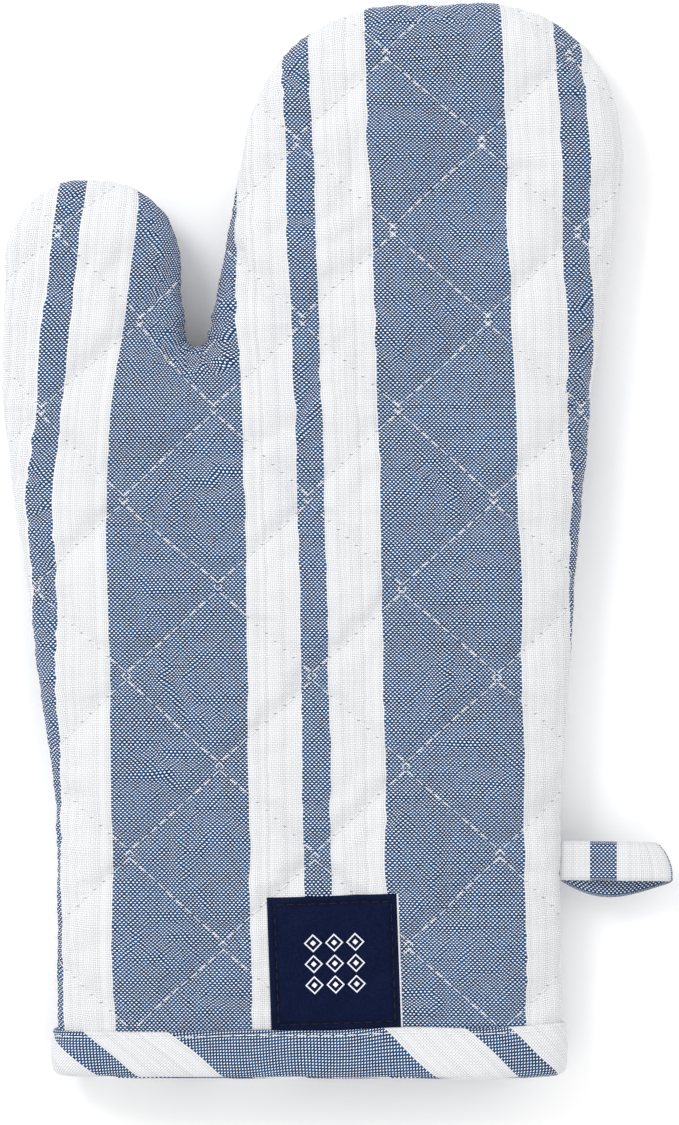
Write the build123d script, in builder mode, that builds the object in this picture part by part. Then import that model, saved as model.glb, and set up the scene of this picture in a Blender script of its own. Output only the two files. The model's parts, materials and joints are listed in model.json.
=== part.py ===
"""Quilted oven mitt with a bound cuff, a hanging loop and a sewn-on label.

The mitt lies flat: +X to its right, +Y towards the fingertips, +Z up out of the front panel.
The origin is the centre of its footprint, on the surface it rests on.
"""

import os
from math import cos, radians, sin, tan

from build123d import *

# ---------------------------------------------------------------- driving dimensions (mm)
CUFF_END = -164.7  # lowest Y of the whole mitt, the fold of the binding
MITT_HEIGHT = 26.0  # thickness of the padded body, front panel to back panel
EDGE_ROUND = 12.0  # rounding of the body from each panel into the side seam

COVER_THICKNESS = 0.8  # woven outer cloth
WADDING_THICKNESS = 3.75  # cotton filling
LINING_THICKNESS = 0.55  # inner cloth
LAYER_GAP = 0.05  # air between two layers that only lie on each other

BINDING_WIDTH = 16.0  # bias strip round the mouth, measured along Y
BINDING_THICKNESS = 1.2

LABEL_WIDTH = 40.0
LABEL_CENTRE_X = -1.0
LABEL_TOP = -107.7
LABEL_TUCK = 3.0  # how far its lower edge runs in under the binding
LABEL_THICKNESS = 0.8

LOOP_CENTRE_Y = -97.8
LOOP_END_X = 103.3
LOOP_WIDTH = 12.0  # width of the tape
LOOP_TAPE = 1.6  # thickness of the tape
LOOP_END_RADIUS = 6.0  # outside of the fold at the far end
LOOP_ROOT_RADIUS = 1.7  # the two ends lie on each other at the seam
SEAM_EDGE_X = 68.3  # side of the body beside the loop
LOOP_CLEARANCE = 0.4

FINGER_HINGE_Y = 63.5  # fold line of the four fingers
FINGER_RANGE = 60.0  # degrees to either side
CLEFT = (-44.5, 63.0)  # just above the bottom of the cleft between thumb and fingers
THUMB_ANGLE = 51.3  # the thumb's fold line leans this much above +X and ends at the cleft
THUMB_RANGE = 45.0  # degrees to either side
HINGE_GAP = 0.15  # half the clearance on a fold line at mid-height
CLEFT_PATCH = 12.0  # reach of the creased cloth round the bottom of the cleft

QUILT_COLUMN = 28.2  # width of one quilting diamond
QUILT_ROW = 27.1  # half its height
QUILT_OVERLAP = 2.1  # how far each zigzag runs past its column line
QUILT_START = (-121.2, -177.2)  # lower left corner of the quilting, outside the mitt
QUILT_SIZE = (8, 13)  # zigzags side by side, and rows of each
THREAD_WIDTH = 0.5
THREAD_HEIGHT = 0.3
STITCH_LENGTH = 2.6
STITCH_PITCH = 3.8
TOPSTITCH_INSET = 1.3  # distance of a stitch line from the edge it holds
BINDING_STITCHES = 34  # stitches across the flat of the front panel
BINDING_STITCH_CENTRE = -8.5
LABEL_STITCH_INSET = 2.2
LABEL_STITCHES = 9  # stitches along one side of the label

# Corners of the mitt's outline and the radius that rounds each one, anticlockwise from the cuff.
OUTLINE = [
    ((69.2, -190.0), 16.0),
    ((68.0, -88.0), 200.0),
    ((74.0, 4.0), 200.0),
    ((78.0, 46.0), 120.0),
    ((88.0, 116.0), 40.0),
    ((81.0, 166.0), 42.0),
    ((-21.5, 162.5), 48.0),
    ((-44.6, 36.0), 3.8),
    ((-49.8, 110.6), 25.0),
    ((-101.0, 110.6), 25.0),
    ((-103.6, 46.0), 120.0),
    ((-86.2, -84.0), 150.0),
    ((-86.0, -190.0), 16.0),
]

# ---------------------------------------------------------------- derived sizes
UNDERSIDE = BINDING_THICKNESS  # the binding is the lowest piece
MID_HEIGHT = UNDERSIDE + MITT_HEIGHT / 2
TOP = UNDERSIDE + MITT_HEIGHT
LAYERS_END = CUFF_END + BINDING_THICKNESS  # where the layers stop inside the binding
WADDING_INSET = COVER_THICKNESS + LAYER_GAP
LINING_INSET = WADDING_INSET + WADDING_THICKNESS + LAYER_GAP
CAVITY_INSET = LINING_INSET + LINING_THICKNESS
LOOP_AXIS_X = SEAM_EDGE_X + LOOP_ROOT_RADIUS + LOOP_CLEARANCE
REACH = 400.0  # larger than the mitt, for cutting blocks


def save(part, name):
    """Labels a finished piece and writes its STEP file."""
    part.label = name
    export_step(part, f"parts/{name}.step")


def pillow(inset):
    """The body's closed outer form, moved inwards by `inset` on every side."""
    with BuildPart() as form:
        with BuildSketch(Plane.XY.offset(UNDERSIDE + inset)):
            with BuildLine():
                corners = [corner for corner, _ in OUTLINE]
                FilletPolyline(*corners, radius=[radius for _, radius in OUTLINE], close=True)
            make_face()
            if inset:
                offset(amount=-inset)
        extrude(amount=MITT_HEIGHT - 2 * inset)
        levels = form.edges().group_by(Axis.Z)
        fillet(levels[0] + levels[-1], radius=EDGE_ROUND - inset)
    return form.part


def flat_area():
    """An upright prism over the flat of the panels, inside their rounded edge."""
    with BuildPart() as prism:
        with BuildSketch():
            with BuildLine():
                corners = [corner for corner, _ in OUTLINE]
                FilletPolyline(*corners, radius=[radius for _, radius in OUTLINE], close=True)
            make_face()
            offset(amount=-EDGE_ROUND)
        extrude(amount=REACH / 4)
    return prism.part


def zigzag_face(column):
    """One zigzag of quilting thread, seen from above."""
    left = QUILT_START[0] + column * QUILT_COLUMN - QUILT_OVERLAP
    right = left + QUILT_COLUMN + 2 * QUILT_OVERLAP
    turns = (left, right) if column % 2 else (right, left)
    rows = range(QUILT_SIZE[1] + 1)
    with BuildSketch() as face:
        with BuildLine():
            line = Polyline(*[(turns[row % 2], QUILT_START[1] + row * QUILT_ROW) for row in rows])
            offset(line, amount=THREAD_WIDTH / 2)
        make_face()
    return face.sketch


def block(y_low, y_high, z_low, z_high):
    """A block across the whole width, for cutting."""
    with BuildPart() as cutter:
        with BuildSketch(Plane.XY.offset(z_low)):
            with Locations((0, (y_low + y_high) / 2)):
                Rectangle(REACH, y_high - y_low)
        extrude(amount=z_high - z_low)
    return cutter.part


def beyond_fold(plane, fold_angle, gap):
    """Everything past a fold line: its two faces lean away from mid-height by half the fold."""
    lean = REACH / 4 * tan(radians(fold_angle / 2))
    with BuildPart() as cutter:
        with BuildSketch(plane):
            with BuildLine():
                Polyline(
                    (gap, 0),
                    (gap + lean, REACH / 4),
                    (REACH, REACH / 4),
                    (REACH, -REACH / 4),
                    (gap + lean, -REACH / 4),
                    close=True,
                )
            make_face()
        extrude(amount=REACH / 2, both=True)
    return cutter.part


def thumb_side():
    """Everything left of the cleft."""
    with BuildPart() as cutter:
        with BuildSketch(Plane.XY.offset(-REACH / 4)):
            with Locations((CLEFT[0] - REACH / 2, 0)):
                Rectangle(REACH, 2 * REACH)
        extrude(amount=REACH / 2)
    return cutter.part


def both(first, second):
    """The space that two forms share."""
    with BuildPart() as common:
        add(first)
        add(second, mode=Mode.INTERSECT)
    return common.part


def joined(first, second):
    """Two forms as one."""
    with BuildPart() as whole:
        add(first)
        add(second)
    return whole.part


def without(first, *others):
    """A form with others taken away."""
    with BuildPart() as rest:
        add(first)
        for other in others:
            add(other, mode=Mode.SUBTRACT)
    return rest.part


os.makedirs("parts", exist_ok=True)

# ---------------------------------------------------------------- cutting forms
outer_form = pillow(0)
cavity_form = pillow(CAVITY_INSET)
above_cuff = block(LAYERS_END, REACH, -REACH / 4, REACH / 4)
half_space = {
    "front": block(-REACH, REACH, MID_HEIGHT, REACH / 4),
    "back": block(-REACH, REACH, -REACH / 4, MID_HEIGHT),
}

# On each fold plane, x runs away from the palm and y is up.
finger_plane = Plane(origin=(0, FINGER_HINGE_Y, MID_HEIGHT), x_dir=(0, 1, 0), z_dir=(1, 0, 0))
thumb_outward = (-sin(radians(THUMB_ANGLE)), cos(radians(THUMB_ANGLE)), 0)
thumb_along = (cos(radians(THUMB_ANGLE)), sin(radians(THUMB_ANGLE)), 0)
thumb_plane = Plane(origin=(*CLEFT, MID_HEIGHT), x_dir=thumb_outward, z_dir=thumb_along)
left_of_cleft = thumb_side()

finger_zone = without(beyond_fold(finger_plane, FINGER_RANGE, HINGE_GAP), left_of_cleft)
thumb_zone = both(beyond_fold(thumb_plane, THUMB_RANGE, HINGE_GAP), left_of_cleft)
# The palm ends short of the other lean, and leaves the bottom of the cleft to the creased cloth.
finger_cut = without(beyond_fold(finger_plane, -FINGER_RANGE, -HINGE_GAP), left_of_cleft)
thumb_cut = both(beyond_fold(thumb_plane, -THUMB_RANGE, -HINGE_GAP), left_of_cleft)
with BuildPart() as cleft_patch:
    with BuildSketch(Plane.XY.offset(-REACH / 4)):
        with Locations(CLEFT):
            Circle(CLEFT_PATCH)
    extrude(amount=REACH / 2)

zones = {
    "fingers": finger_zone,
    "thumb": thumb_zone,
    "palm": without(
        block(-REACH, REACH, -REACH / 4, REACH / 4), finger_cut, thumb_cut, cleft_patch.part
    ),
}
fold_zones = {
    "finger_fold": without(
        joined(finger_cut, without(cleft_patch.part, left_of_cleft)), finger_zone
    ),
    "thumb_fold": without(joined(thumb_cut, both(cleft_patch.part, left_of_cleft)), thumb_zone),
}

# ---------------------------------------------------------------- cover, wadding and lining
layer_insets = {
    "cover": (0, COVER_THICKNESS),
    "wadding": (WADDING_INSET, WADDING_INSET + WADDING_THICKNESS),
    "lining": (LINING_INSET, CAVITY_INSET),
}
for layer, (outside, inside) in layer_insets.items():
    shell = without(pillow(outside), pillow(inside))
    for side, half in half_space.items():
        for zone, zone_block in zones.items():
            with BuildPart() as panel:
                add(shell)
                add(above_cuff, mode=Mode.INTERSECT)
                add(half, mode=Mode.INTERSECT)
                add(zone_block, mode=Mode.INTERSECT)
            save(panel.part, f"{side}_{layer}_{zone}")

# ---------------------------------------------------------------- creased quilt at the two folds
quilt_wall = without(outer_form, cavity_form)
for side, half in half_space.items():
    for fold, fold_block in fold_zones.items():
        with BuildPart() as crease:
            add(quilt_wall)
            add(half, mode=Mode.INTERSECT)
            add(fold_block, mode=Mode.INTERSECT)
        save(crease.part, f"{side}_{fold}")

# ---------------------------------------------------------------- label, tucked under the binding
label_bottom = CUFF_END + BINDING_WIDTH - LABEL_TUCK
label_height = LABEL_TOP - label_bottom
label_centre = (LABEL_CENTRE_X, LABEL_TOP - label_height / 2)
with BuildPart() as label:
    with BuildSketch(Plane.XY.offset(TOP)):
        with Locations(label_centre):
            RectangleRounded(LABEL_WIDTH, label_height, 1.0)
    extrude(amount=LABEL_THICKNESS)
save(label.part, "label")

# ---------------------------------------------------------------- binding, folded over the mouth
binding_outside = pillow(-BINDING_THICKNESS)
binding_inside = pillow(CAVITY_INSET + BINDING_THICKNESS)
binding_band = block(CUFF_END, CUFF_END + BINDING_WIDTH, -REACH / 4, REACH / 4)
wrapped_layers = both(quilt_wall, above_cuff)
with BuildPart() as binding:
    add(binding_outside)
    add(binding_inside, mode=Mode.SUBTRACT)
    add(binding_band, mode=Mode.INTERSECT)
    add(wrapped_layers, mode=Mode.SUBTRACT)
    add(label.part, mode=Mode.SUBTRACT)
save(binding.part, "binding")

# ---------------------------------------------------------------- hanging loop
loop_end = (LOOP_END_X - LOOP_END_RADIUS, MID_HEIGHT)
loop_root = (LOOP_AXIS_X, MID_HEIGHT)
loop_plane = Plane(origin=(0, LOOP_CENTRE_Y, 0), x_dir=(1, 0, 0), z_dir=(0, -1, 0))
hole_root_radius = LOOP_ROOT_RADIUS - LOOP_TAPE
with BuildPart() as hanging_loop:
    with BuildSketch(loop_plane):
        with Locations(loop_root):
            Circle(LOOP_ROOT_RADIUS)
        with Locations(loop_end):
            Circle(LOOP_END_RADIUS)
        make_hull()
    extrude(amount=LOOP_WIDTH / 2, both=True)
    with BuildSketch(loop_plane):
        with Locations(loop_root):
            Circle(hole_root_radius)
        with Locations(loop_end):
            Circle(LOOP_END_RADIUS - LOOP_TAPE)
        make_hull()
    extrude(amount=LOOP_WIDTH / 2, both=True, mode=Mode.SUBTRACT)
save(hanging_loop.part, "hanging_loop")

# ---------------------------------------------------------------- quilting thread
quilt_area = both(flat_area(), block(CUFF_END + BINDING_WIDTH, REACH, 0, REACH / 4))
for side, floor in {"front": TOP, "back": UNDERSIDE - THREAD_HEIGHT}.items():
    with BuildPart() as zigzags:
        with BuildSketch(Plane.XY.offset(floor)):
            for column in range(QUILT_SIZE[0]):
                add(zigzag_face(column))
        extrude(amount=THREAD_HEIGHT)
    for zone, zone_block in zones.items():
        with BuildPart() as quilting:
            add(zigzags.part)
            add(quilt_area, mode=Mode.INTERSECT)
            add(zone_block, mode=Mode.INTERSECT)
            if side == "front":
                add(label.part, mode=Mode.SUBTRACT)
        save(quilting.part, f"{side}_quilting_{zone}")

# ---------------------------------------------------------------- topstitching of the binding
stitch_y = CUFF_END + BINDING_WIDTH - TOPSTITCH_INSET
with BuildPart() as binding_stitching:
    with BuildSketch(Plane.XY.offset(TOP + BINDING_THICKNESS)):
        with Locations((BINDING_STITCH_CENTRE, stitch_y)):
            with GridLocations(STITCH_PITCH, 1, BINDING_STITCHES, 1):
                Rectangle(STITCH_LENGTH, THREAD_WIDTH)
    extrude(amount=THREAD_HEIGHT)
save(binding_stitching.part, "binding_stitching")

# ---------------------------------------------------------------- stitching round the label
seam_half = LABEL_WIDTH / 2 - LABEL_STITCH_INSET
seam_top = LABEL_TOP - LABEL_STITCH_INSET
with BuildPart() as label_stitching:
    with BuildSketch(Plane.XY.offset(TOP + LABEL_THICKNESS)):
        with Locations((LABEL_CENTRE_X, seam_top)):
            with GridLocations(STITCH_PITCH, 1, LABEL_STITCHES, 1):
                Rectangle(STITCH_LENGTH, THREAD_WIDTH)
        with Locations((LABEL_CENTRE_X, seam_top - seam_half)):
            with GridLocations(2 * seam_half, STITCH_PITCH, 2, LABEL_STITCHES - 1):
                Rectangle(THREAD_WIDTH, STITCH_LENGTH)
    extrude(amount=THREAD_HEIGHT)
save(label_stitching.part, "label_stitching")
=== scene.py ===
"""The looks of a quilted oven mitt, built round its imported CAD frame. Lengths are in metres."""

import json
import math

import bmesh
import bpy
import numpy as np
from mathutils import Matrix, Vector
from mathutils.bvhtree import BVHTree
from mathutils.geometry import delaunay_2d_cdt
from mathutils.kdtree import KDTree


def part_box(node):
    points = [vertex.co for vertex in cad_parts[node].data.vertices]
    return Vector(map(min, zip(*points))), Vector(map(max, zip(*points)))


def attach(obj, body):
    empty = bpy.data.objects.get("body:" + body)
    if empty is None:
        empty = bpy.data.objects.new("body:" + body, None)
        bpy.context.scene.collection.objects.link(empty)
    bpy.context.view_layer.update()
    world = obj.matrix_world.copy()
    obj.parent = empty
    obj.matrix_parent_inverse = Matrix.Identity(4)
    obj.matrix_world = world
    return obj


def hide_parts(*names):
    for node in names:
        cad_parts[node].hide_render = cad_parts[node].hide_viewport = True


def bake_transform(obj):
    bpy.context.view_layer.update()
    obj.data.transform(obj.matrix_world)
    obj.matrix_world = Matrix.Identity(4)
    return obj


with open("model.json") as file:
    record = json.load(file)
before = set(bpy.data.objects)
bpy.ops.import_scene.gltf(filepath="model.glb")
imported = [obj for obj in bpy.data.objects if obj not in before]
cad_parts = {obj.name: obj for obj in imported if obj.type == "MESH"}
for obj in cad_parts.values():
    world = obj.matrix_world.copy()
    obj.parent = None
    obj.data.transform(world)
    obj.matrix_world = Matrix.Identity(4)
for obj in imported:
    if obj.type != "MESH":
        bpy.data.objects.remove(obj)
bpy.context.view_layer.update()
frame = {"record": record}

MM = 0.001
SEED = 11

# ---- places taken from the frame
JOINTS = {joint["name"]: joint for joint in frame["record"]["behaviour"]["joints"]}
MID = JOINTS["finger_fold"]["pos_m"][2]  # height of the side seam
CLEFT = np.array(JOINTS["thumb_fold"]["pos_m"][:2])
THUMB_ALONG = np.array(JOINTS["thumb_fold"]["axis"][:2])
THUMB_OUTWARD = np.array([-THUMB_ALONG[1], THUMB_ALONG[0]])
BINDING_LOW, BINDING_HIGH = (np.array(corner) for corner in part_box("binding"))
CUFF_END = BINDING_LOW[1]
BINDING_TOP = BINDING_HIGH[1]
LABEL_LOW, LABEL_HIGH = (np.array(corner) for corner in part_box("label"))
LOOP_LOW, LOOP_HIGH = (np.array(corner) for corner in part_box("hanging_loop"))
HALF_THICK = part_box("front_cover_palm")[1][2] - MID

# The mitt's outline, as in the CAD model but a little tighter at the cleft, in mm:
# corners and the radius that rounds each.
OUTLINE = [
    ((69.2, -190.0), 16.0),
    ((68.0, -88.0), 200.0),
    ((74.0, 4.0), 200.0),
    ((78.0, 46.0), 120.0),
    ((88.0, 116.0), 40.0),
    ((81.0, 166.0), 42.0),
    ((-21.5, 162.5), 48.0),
    ((-44.6, 36.3), 3.3),
    ((-49.8, 110.6), 25.0),
    ((-101.0, 110.6), 25.0),
    ((-103.6, 46.0), 120.0),
    ((-86.2, -84.0), 150.0),
    ((-86.0, -190.0), 16.0),
]

# ---- cloth
THREAD_PITCH = 0.63 * MM
LINING_PITCH = 0.5 * MM
WEFT_OVAL = (0.525, 0.305)  # half-sizes of a weft float, across and along, in thread pitches
WARP_OVAL = (0.52, 0.75)
STRIPE_REPEAT = 83.0 * MM
WIDE_STRIPE = 41.4 * MM
NARROW_STRIPE = (58.0 * MM, 66.2 * MM)  # its two edges, from the start of the wide stripe
STRIPE_START = -69.8 * MM  # left edge of a wide stripe
STRIPE_LEVEL = 12.0 * MM  # the height on the mitt where the two lines above hold
GRAIN_LEAN = (0.036, 0.014)  # sideways drift of the grain per length: over the fingers, over the palm
THUMB_LEAN = -0.097  # the same on the thumb

# ---- quilting
QUILT_COLUMN = 28.1 * MM
QUILT_ROW = 27.1 * MM
QUILT_OVERLAP = 2.1 * MM
QUILT_START = (-121.1 * MM, -176.9 * MM)
QUILT_ZIGZAGS = 8
STITCH_PITCH = 3.8 * MM
STITCH_LENGTH = 3.3 * MM
THREAD_RADIUS = 0.15 * MM
NEEDLE_HOLE = 0.42 * MM
PUFF = {"front": 2.1 * MM, "back": 1.2 * MM}
BASE_DROP = 1.6 * MM  # the quilting lines lie this far under the CAD panel

MESH_PITCH = 3.8 * MM
PLAN_REACH = (0.12, 0.18)  # the mitt lies within this, in metres, to either side and towards the tips
PROFILE_DEPTH = 34.0 * MM  # how far in from the seam the panels keep rising
FLAT_DEPTH = 20.0 * MM  # how far in the cloth's own coordinates differ from the plan
CLOTH_MOVES = 1.3 * MM  # the most that the simulation may shift a point


def smoothstep(x, low, high):
    """Rises smoothly from 0 at low to 1 at high."""
    t = np.clip((x - low) / (high - low), 0.0, 1.0)
    return t * t * (3.0 - 2.0 * t)


def lengths_along(line):
    """The distance from a line's start to each of its points."""
    return np.concatenate([[0], np.cumsum(np.linalg.norm(np.diff(line, axis=0), axis=1))])


def unit(vector):
    return vector / np.linalg.norm(vector)


def unit_rows(vectors):
    return vectors / np.linalg.norm(vectors, axis=1)[:, None]


def waves(points, length, count, seed):
    """Smooth noise between about -1 and 1: a few sine waves with random directions and phases."""
    draw = np.random.default_rng(seed)
    total = np.zeros(len(points))
    for _ in range(count):
        angle = draw.uniform(0, math.tau)
        phase = draw.uniform(0, math.tau)
        stretch = draw.uniform(0.7, 1.5)
        direction = np.array([math.cos(angle), math.sin(angle)]) * math.tau / (length * stretch)
        total += np.sin(points[:, :2] @ direction + phase)
    return total / math.sqrt(count)


# ---- outline and profile
def rounded_outline(step):
    """Points along the rounded outline, anticlockwise, and the outward normal at each."""
    corners = [np.array(corner) * MM for corner, _ in OUTLINE]
    radii = [radius * MM for _, radius in OUTLINE]
    points, normals = [], []
    count = len(corners)
    entries, exits = [], []
    for i in range(count):
        before = unit(corners[i - 1] - corners[i])
        after = unit(corners[(i + 1) % count] - corners[i])
        half = math.acos(np.clip(before @ after, -1, 1)) / 2
        reach = radii[i] / math.tan(half)
        entries.append(corners[i] + before * reach)
        exits.append(corners[i] + after * reach)
    for i in range(count):
        way_in = unit(corners[i] - entries[i])
        way_out = unit(exits[i] - corners[i])
        turn = math.atan2(way_in[0] * way_out[1] - way_in[1] * way_out[0], way_in @ way_out)
        side = math.copysign(1.0, turn)
        centre = entries[i] + side * radii[i] * np.array([-way_in[1], way_in[0]])
        steps = max(2, int(abs(turn) * radii[i] / step))
        heading = math.atan2(way_in[1], way_in[0])
        for k in range(steps):
            angle = heading + turn * k / steps
            outward = np.array([math.sin(angle), -math.cos(angle)])
            points.append(centre + side * radii[i] * outward)
            normals.append(outward)
        run = entries[(i + 1) % count] - exits[i]
        length = np.linalg.norm(run)
        direction = run / length
        steps = max(1, int(length / step))
        for k in range(steps):
            points.append(exits[i] + run * k / steps)
            normals.append(np.array([direction[1], -direction[0]]))
    return np.array(points), np.array(normals)


OUTLINE_POINTS, OUTLINE_NORMALS = rounded_outline(0.4 * MM)
OUTLINE_TREE = KDTree(len(OUTLINE_POINTS))
for index, point in enumerate(OUTLINE_POINTS):
    OUTLINE_TREE.insert((point[0], point[1], 0), index)
OUTLINE_TREE.balance()


def inset_and_normal(plan):
    """How far each point of the plan lies inside the outline, and the outward direction there."""
    nearest = [OUTLINE_TREE.find((x, y, 0))[1] for x, y in plan]
    normals = OUTLINE_NORMALS[nearest]
    inset = -np.einsum("ij,ij->i", plan - OUTLINE_POINTS[nearest], normals)
    return inset, normals


def rise(inset):
    """Height of a panel over the side seam, this far in from it."""
    share = np.clip(inset / PROFILE_DEPTH, 0.0, 1.0)
    return (HALF_THICK - BASE_DROP) * np.sqrt(1.0 - (1.0 - share) ** 2.7)


def profile_normal(inset, outward, side):
    """Direction at right angles to the plain panel, this far in from the seam."""
    step = 0.2 * MM
    slope = (rise(inset + step) - rise(inset)) / step
    normal = np.column_stack([outward * slope[:, None], side])
    normal[side == 0] = np.column_stack([outward, side])[side == 0]
    return unit_rows(normal)


PROFILE_INSET = np.linspace(0, 1, 600) ** 2 * FLAT_DEPTH
PROFILE_ARC = np.concatenate(
    [[0], np.cumsum(np.hypot(np.diff(PROFILE_INSET), np.diff(rise(PROFILE_INSET))))]
)


def seam_distance(inset):
    """Distance from the side seam along the cloth."""
    return np.interp(inset, PROFILE_INSET, PROFILE_ARC) + np.maximum(inset - FLAT_DEPTH, 0)


def fabric_coordinates(plan, inset, normals):
    """Where each point lies on the flat cloth: u across the stripes, v along them."""
    spare = (PROFILE_ARC[-1] - np.interp(inset, PROFILE_INSET, PROFILE_ARC)) - (
        FLAT_DEPTH - np.minimum(inset, FLAT_DEPTH)
    )
    # sewing takes up half of the spare cloth, and more where it is clipped at the cleft
    from_cleft = np.linalg.norm(plan - CLEFT, axis=1)
    spare *= 0.2 + 0.3 * smoothstep(from_cleft, 6 * MM, 34 * MM)
    flat = plan + normals * spare[:, None]
    outward = (plan - CLEFT) @ THUMB_OUTWARD
    beside = smoothstep(CLEFT[0] - plan[:, 0], -12 * MM, 12 * MM)
    on_thumb = smoothstep(outward, -25 * MM, 25 * MM) * beside
    above = flat[:, 1] - STRIPE_LEVEL
    upper, lower = GRAIN_LEAN
    bend_over = np.sqrt(above**2 + (25 * MM) ** 2)
    lean = (upper + lower) / 2 * above + (upper - lower) / 2 * bend_over
    thumb_lean = THUMB_LEAN * np.maximum(above, 0) + lower * np.minimum(above, 0)
    lean = lean * (1 - on_thumb) + thumb_lean * on_thumb
    sway = 0.22 * MM * waves(flat, 45 * MM, 5, SEED)
    sag = 0.3 * MM * waves(flat, 50 * MM, 5, SEED + 1)
    return np.column_stack([flat[:, 0] + lean + sway, flat[:, 1] + sag])


# ---- quilting lines
ZIGZAG_WIDTH = QUILT_COLUMN + 2 * QUILT_OVERLAP
ZIGZAG_SLOPE = ZIGZAG_WIDTH / QUILT_ROW
STITCH_PER_V = math.hypot(1.0, ZIGZAG_SLOPE)  # length of stitching for each length of v


def zigzag_u(column, v):
    """The u of one zigzag at v, with its turns slightly rounded."""
    phase = (v - QUILT_START[1]) / QUILT_ROW
    triangle = np.abs((phase % 2.0) - 1.0)
    soft = 0.5 + (triangle - 0.5) * 0.985 - 0.015 * np.sin((triangle - 0.5) * math.pi)
    share = soft if column % 2 == 0 else 1.0 - soft
    left = QUILT_START[0] + column * QUILT_COLUMN - QUILT_OVERLAP
    return left + share * ZIGZAG_WIDTH


def quilting_distance(uv):
    """Distance to the nearest quilting line, and the length along that line."""
    best = np.full(len(uv), 1.0)
    for column in range(QUILT_ZIGZAGS):
        away = np.abs(uv[:, 0] - zigzag_u(column, uv[:, 1])) / STITCH_PER_V
        best = np.minimum(best, away)
    return best, uv[:, 1] * STITCH_PER_V


# ---- mesh helpers
def grid_faces(rows, columns, rows_closed=False, columns_closed=False):
    """Four-sided faces between neighbours in a grid of points that is numbered row by row."""
    faces = []
    for row in range(rows if rows_closed else rows - 1):
        after = (row + 1) % rows
        for column in range(columns if columns_closed else columns - 1):
            beside = (column + 1) % columns
            corners = ((row, column), (row, beside), (after, beside), (after, column))
            faces.append([a * columns + b for a, b in corners])
    return faces


def new_mesh(name, vertices, faces):
    mesh = bpy.data.meshes.new(name)
    mesh.from_pydata([tuple(v) for v in vertices], [], [tuple(int(i) for i in f) for f in faces])
    mesh.update()
    return mesh


def linked(name, data):
    """A new object in the scene that shows this mesh, lamp or camera."""
    made = bpy.data.objects.new(name, data)
    bpy.context.scene.collection.objects.link(made)
    return made


def new_piece(name, vertices, faces, material, fabric=None, normals=None, pinch=None):
    """A smooth-shaded piece, with its cloth coordinates where it is woven."""
    mesh = new_mesh(name, vertices, faces)
    mesh.shade_smooth()
    if fabric is not None:
        layer = mesh.attributes.new("fabric", "FLOAT_VECTOR", "POINT")
        coords = np.zeros((len(vertices), 3), np.float32)
        coords[:, :2] = fabric
        layer.data.foreach_set("vector", coords.ravel())
    # the label's stitch groove depth, which its material turns into painted shade
    if pinch is not None:
        layer = mesh.attributes.new("pinch", "FLOAT", "POINT")
        layer.data.foreach_set("value", np.asarray(pinch, np.float32))
    if normals is not None:
        mesh.normals_split_custom_set_from_vertices([tuple(n) for n in normals])
    mesh.materials.append(material)
    return linked(name, mesh)


def read_vectors(collection, name):
    """One vector of every item in a Blender collection, as rows."""
    read = np.empty(len(collection) * 3, np.float32)
    collection.foreach_get(name, read)
    return read.reshape(-1, 3).astype(float)


def read_mesh(mesh):
    """A mesh's points, faces (as lists of point numbers) and point normals."""
    faces = [list(polygon.vertices) for polygon in mesh.polygons]
    return read_vectors(mesh.vertices, "co"), faces, read_vectors(mesh.vertex_normals, "vector")


def evaluated(trial):
    """The trial object's mesh after its modifiers. The object is removed."""
    result = bpy.data.meshes.new_from_object(trial.evaluated_get(bpy.context.evaluated_depsgraph_get()))
    bpy.data.objects.remove(trial)
    return result


def part_of(faces, chosen):
    """The faces that are chosen, renumbered, and the numbers of the points that they use."""
    kept = [face for face, wanted in zip(faces, chosen) if wanted]
    used = sorted({i for face in kept for i in face})
    place = {old: new for new, old in enumerate(used)}
    return [[place[i] for i in face] for face in kept], np.array(used)


# ---- the bag: cloth from seam to seam
def panel_plan():
    """Points and triangles of one panel in plan: rings along the seam, then an even grid."""
    ring_arcs = np.arange(0, 4) * MESH_PITCH * 0.9
    rings = np.interp(ring_arcs, PROFILE_ARC, PROFILE_INSET)
    cuff = CUFF_END + 1.5 * MM
    above = OUTLINE_POINTS[:, 1] >= cuff
    first = int(np.argmax(above & ~np.roll(above, 1)))
    border = np.roll(OUTLINE_POINTS, -first, axis=0)[: int(above.sum())]
    outward = np.roll(OUTLINE_NORMALS, -first, axis=0)[: int(above.sum())]
    length = lengths_along(border)
    count = int(length[-1] / (MESH_PITCH * 0.9))
    places = np.linspace(0, length[-1], count)
    at = np.column_stack([np.interp(places, length, border[:, k]) for k in (0, 1)])
    facing = unit_rows(np.column_stack([np.interp(places, length, outward[:, k]) for k in (0, 1)]))
    points = [at - facing * depth for depth in rings]
    inner = rings[-1] + 0.55 * MESH_PITCH
    row_step = MESH_PITCH * math.sqrt(3) / 2
    grid = []
    for row, y in enumerate(np.arange(cuff, PLAN_REACH[1], row_step)):
        for x in np.arange(-PLAN_REACH[0], PLAN_REACH[0], MESH_PITCH):
            grid.append((x + (row % 2) * MESH_PITCH / 2, y))
    grid = np.array(grid)
    inset, _ = inset_and_normal(grid)
    points.append(grid[inset > inner])
    plan = np.vstack(points)
    edges = [(i, i + 1) for i in range(count - 1)]
    corners = [Vector(p) for p in plan]
    verts, _, faces, _, _, _ = delaunay_2d_cdt(corners, edges, [], 0, 1e-7)
    plan = np.array([tuple(v) for v in verts])
    centres = np.array([plan[list(face)].mean(axis=0) for face in faces])
    inside, _ = inset_and_normal(centres)
    kept = [face for face, depth in zip(faces, inside) if depth > 0.02 * MM]  # no slivers on the seam
    kept, used = part_of(kept, [True] * len(kept))
    return plan[used], kept


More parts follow.
